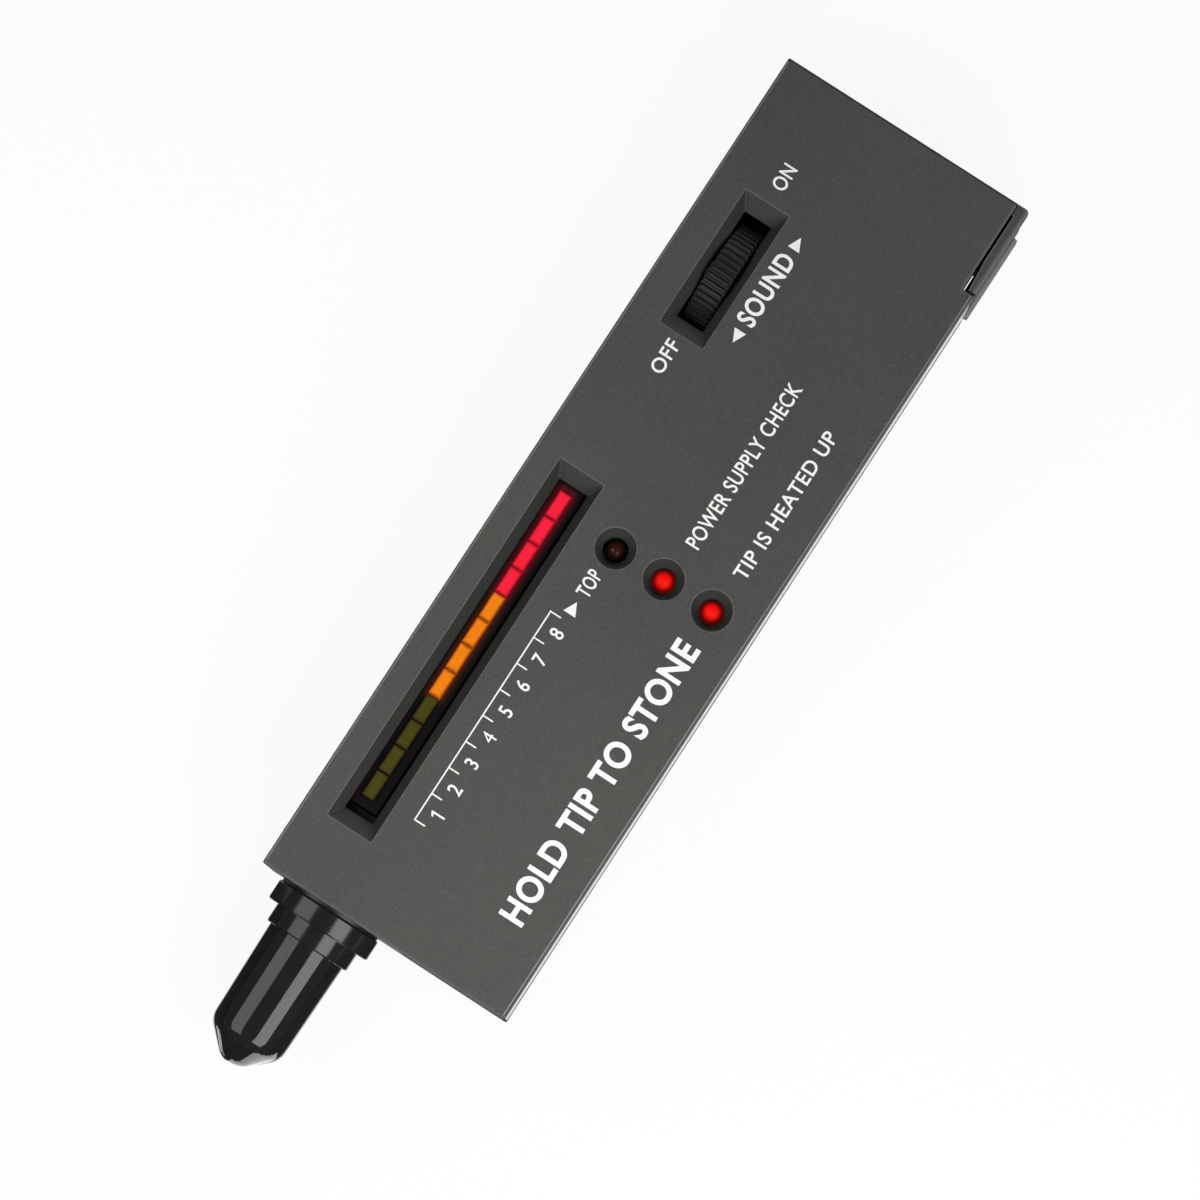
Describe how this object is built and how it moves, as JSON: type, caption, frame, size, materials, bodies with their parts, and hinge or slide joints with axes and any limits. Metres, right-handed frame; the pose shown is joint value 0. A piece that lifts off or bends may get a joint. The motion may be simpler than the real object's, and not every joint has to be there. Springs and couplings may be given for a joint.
{
  "type": "diamond tester pen",
  "caption": "Flat pocket gem tester with a capped probe, a bar of coloured lights, round lamps, a thumbwheel switch and a sliding battery door.",
  "frame": {"origin": "middle of the back face of the case", "axes": "+Z out of the front plate, +Y to the rear end away from the probe, +X to the right seen from the front"},
  "size_m": [0.039, 0.155, 0.02],
  "materials": {
    "cover": "fine matt texture, warm dark grey",
    "rear": "fine matt texture, dark grey",
    "door": "matt, dark grey",
    "strip": "bright polished metal",
    "cap": "glossy black",
    "wheel": "satin black",
    "holder": "matt black",
    "red_light": "lit red diffused plastic",
    "amber_light": "lit orange diffused plastic",
    "green_light": "unlit olive green diffused plastic",
    "red_lamp": "red tinted plastic",
    "dark_lamp": "unlit red tinted plastic",
    "board": "green solder mask",
    "chip": "moulded black",
    "part": "small board parts",
    "steel": "plated steel",
    "nickel": "nickel plate",
    "copper": "bare copper",
    "brass": "turned brass",
    "jacket": "plain printed jacket",
    "red_wire": "red insulation",
    "black_wire": "black insulation",
    "ceramic": "ceramic bead"
  },
  "bodies": {
    "case": {"front_cover": "cover", "rear_cover": "rear", "left_strip": "strip", "right_strip": "strip", "battery": "jacket", "battery_terminals": "nickel", "snap_plate": "chip", "snap_contacts": "nickel", "red_lead": "red_wire", "black_lead": "black_wire", "main_board": "board", "board_screws": "steel", "bar_holder": "holder", "red_lights": "red_light", "amber_lights": "amber_light", "green_lights": "green_light", "stone_lamp": "dark_lamp", "battery_lamp": "red_lamp", "ready_lamp": "red_lamp", "lamp_spacers": "holder", "potentiometer": "chip", "buzzer": "chip", "driver_chip": "chip", "amplifier_chip": "chip", "capacitors": "part", "resistors": "ceramic", "trimmer": "part", "contact_pins": "brass", "probe_holder": "holder", "probe_sleeve": "nickel", "return_spring": "steel", "spring_plug": "ceramic", "probe_leads": "red_wire", "case_screws": "steel"},
    "wheel": {"volume_wheel": "wheel", "wheel_shaft": "brass", "wheel_screw": "steel"},
    "tip": {"probe_tip": "copper", "heater_bead": "ceramic"},
    "cap": {"probe_cap": "cap"},
    "door": {"battery_door": "door"}
  },
  "joints": [
    {"name": "wheel_turn", "type": "hinge", "parent": "case", "child": "wheel", "pos_m": [-0.0109, 0.0359, 0.0112], "axis": [1, 0, 0], "range_deg": [-150, 150]},
    {"name": "tip_press", "type": "slide", "parent": "case", "child": "tip", "axis": [0, 1, 0], "range_m": [0, 0.0015], "stiffness_N_per_m": 200, "springref_m": -0.002, "deforming": ["return_spring"]},
    {"name": "cap_pull", "type": "slide", "parent": "case", "child": "cap", "axis": [0, -1, 0], "range_m": [0, 0.03]},
    {"name": "door_slide", "type": "slide", "parent": "case", "child": "door", "axis": [0, 1, 0], "range_m": [0, 0.055]}
  ]
}
